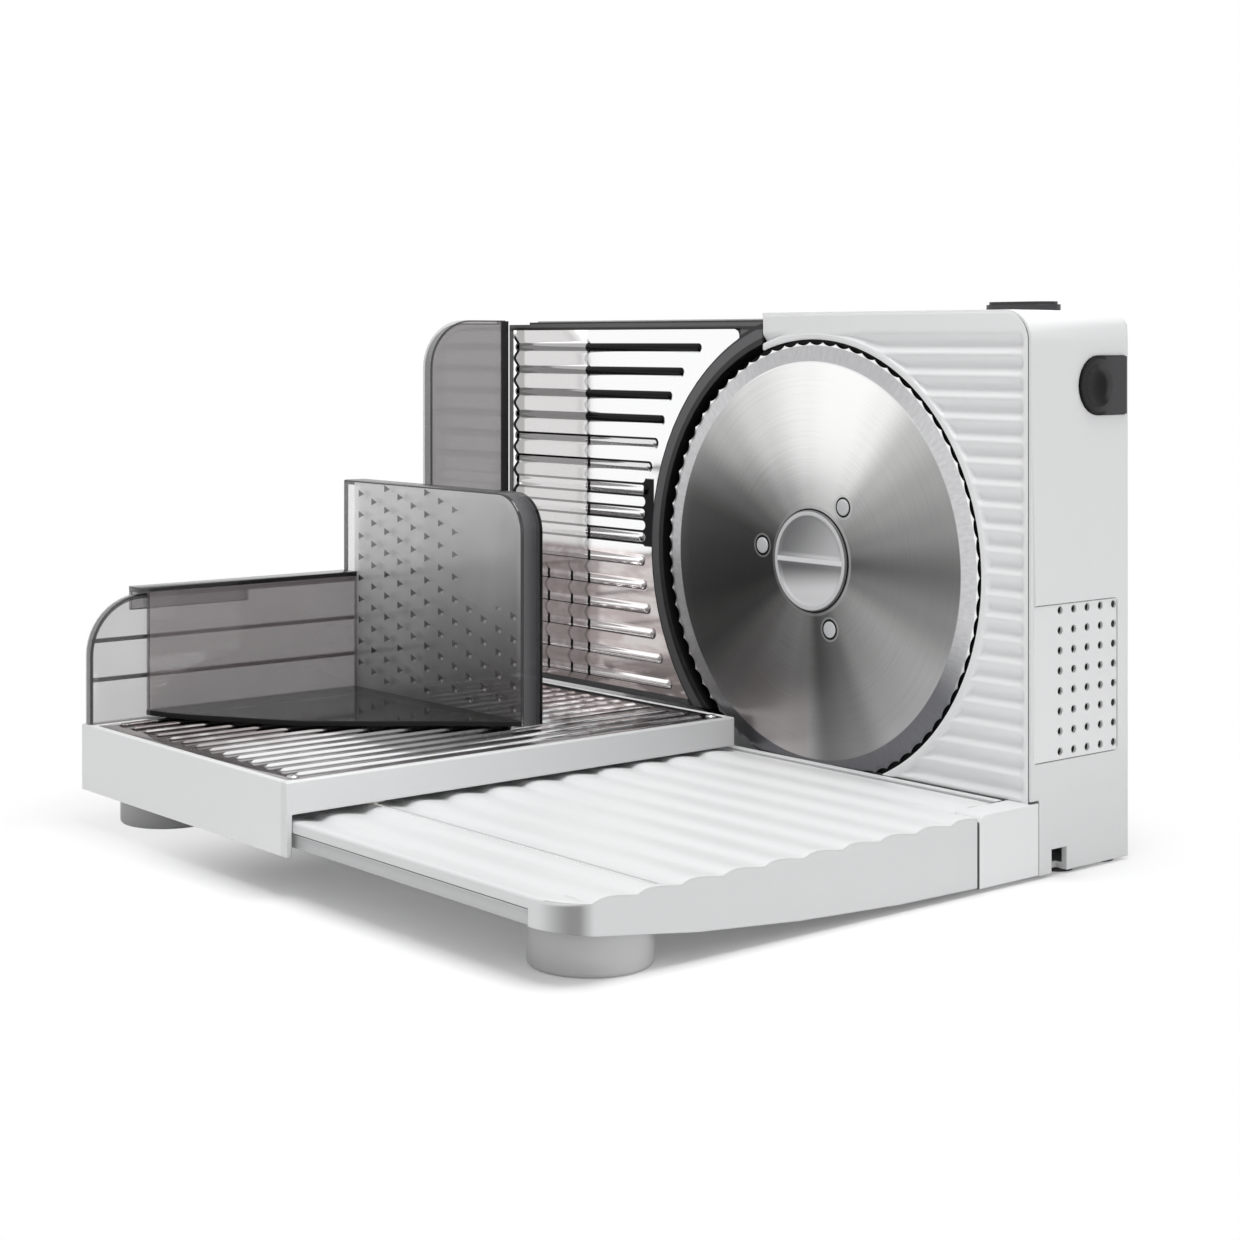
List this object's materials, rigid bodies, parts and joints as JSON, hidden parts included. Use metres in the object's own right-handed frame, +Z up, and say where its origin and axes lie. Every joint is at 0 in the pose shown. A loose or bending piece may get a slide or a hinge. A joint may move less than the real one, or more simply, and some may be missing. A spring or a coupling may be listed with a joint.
{
  "type": "electric food slicer",
  "caption": "Folding electric food slicer: round serrated blade in an upright motor housing, adjustable stop plate, fold-up tray, sliding carriage with guard and spiked food pusher.",
  "frame": {"origin": "middle of the footprint, at the height of the table that the pads and feet stand on", "axes": "+X along the carriage's stroke towards the motor end, +Y from the operator's edge of the tray towards the thickness knob, +Z up"},
  "size_m": [0.3472, 0.315, 0.2286],
  "materials": {
    "white_plastic": "satin moulded white",
    "grey_plastic": "fine-textured dark grey",
    "smoke_plastic": "clear smoke-grey moulded plastic",
    "polished_steel": "bright rolled sheet",
    "blade_steel": "finely turned",
    "plain_steel": "turned or plated",
    "light_grey_plastic": "fine-textured light grey",
    "nylon": "natural nylon",
    "bronze": "sintered bearing bronze",
    "rubber": "soft black",
    "foot_rubber": "matt grey",
    "black_plastic": "plain black"
  },
  "bodies": {
    "machine": {"housing_shell": "white_plastic", "front_panel": "white_plastic", "rear_cover": "white_plastic", "rear_screw_1": "plain_steel", "rear_screw_2": "plain_steel", "rear_screw_3": "plain_steel", "rear_screw_4": "plain_steel", "vent_grille": "white_plastic", "base_frame": "white_plastic", "hinge_pin_left": "plain_steel", "hinge_pin_right": "plain_steel", "pad_rear_right": "rubber", "pad_rear_middle": "rubber", "pad_front_middle": "rubber", "pad_front_right": "rubber", "motor_body": "plain_steel", "motor_clamp_left": "plain_steel", "motor_clamp_right": "plain_steel", "worm_bush": "bronze", "worm_bracket": "black_plastic", "spindle_bush": "bronze", "switch_block": "black_plastic", "switch_spring": "plain_steel", "lock_switch": "black_plastic"},
    "rotor": {"worm_shaft": "plain_steel"},
    "knife": {"blade": "blade_steel", "blade_pin_1": "light_grey_plastic", "blade_pin_2": "light_grey_plastic", "blade_pin_3": "light_grey_plastic", "blade_spindle": "plain_steel", "hub_knob": "light_grey_plastic", "drive_gear": "nylon"},
    "stop": {"fence_frame": "grey_plastic", "fence_plate": "polished_steel", "fence_back_cover": "white_plastic", "guide_rod_lower": "plain_steel", "guide_rod_upper": "plain_steel", "thickness_nut": "nylon"},
    "dial": {"thickness_knob": "grey_plastic", "thickness_screw": "plain_steel"},
    "power": {"power_switch": "grey_plastic"},
    "lock": {"lock_button": "grey_plastic", "lock_spring": "plain_steel"},
    "tray": {"tray_board": "white_plastic", "tray_foot_left": "foot_rubber", "tray_foot_right": "foot_rubber"},
    "shoe": {"carriage_shoe": "nylon"},
    "sledge": {"carriage_frame": "white_plastic", "carriage_plate": "polished_steel", "plate_screw_1": "plain_steel", "plate_screw_2": "plain_steel", "carriage_guard": "smoke_plastic"},
    "pusher": {"pusher": "smoke_plastic"}
  },
  "joints": [
    {"name": "blade_spin", "type": "hinge", "parent": "machine", "child": "knife", "pos_m": [0.0504, 0.08115, 0.117], "axis": [0, 1, 0], "continuous": true},
    {"name": "motor_spin", "type": "hinge", "parent": "machine", "child": "rotor", "pos_m": [0.0984, 0.11315, 0.077], "axis": [1, 0, 0], "continuous": true},
    {"name": "thickness_slide", "type": "slide", "parent": "machine", "child": "stop", "axis": [0, 1, 0], "range_m": [0, 0.015]},
    {"name": "thickness_turn", "type": "hinge", "parent": "machine", "child": "dial", "pos_m": [-0.0776, 0.14215, 0.12], "axis": [0, 1, 0], "range_deg": [0, 270]},
    {"name": "power_press", "type": "slide", "parent": "machine", "child": "power", "axis": [0, 0, -1], "range_m": [0, 0.0025], "stiffness_N_per_m": 800, "springref_m": -0.002, "deforming": ["switch_spring"]},
    {"name": "lock_press", "type": "slide", "parent": "machine", "child": "lock", "axis": [-1, 0, 0], "range_m": [0, 0.0025], "stiffness_N_per_m": 600, "springref_m": -0.002},
    {"name": "tray_fold", "type": "hinge", "parent": "machine", "child": "tray", "pos_m": [0.0504, 0.05475, 0.0256], "axis": [-1, 0, 0], "range_deg": [0, 90]},
    {"name": "carriage_stroke", "type": "slide", "parent": "tray", "child": "shoe", "axis": [1, 0, 0], "range_m": [0, 0.148]},
    {"name": "carriage_off", "type": "slide", "parent": "shoe", "child": "sledge", "axis": [0, -1, 0], "range_m": [0, 0.3504]},
    {"name": "pusher_slide", "type": "slide", "parent": "sledge", "child": "pusher", "axis": [0, 1, 0], "range_m": [0, 0.084]}
  ],
  "couplings": [
    {"joint": "motor_spin", "follows": "blade_spin", "ratio": 36},
    {"joint": "thickness_turn", "follows": "thickness_slide", "rad_per_m": 314.16},
    {"joint": "carriage_off", "follows": "tray_fold", "m_per_rad": 0.223}
  ]
}
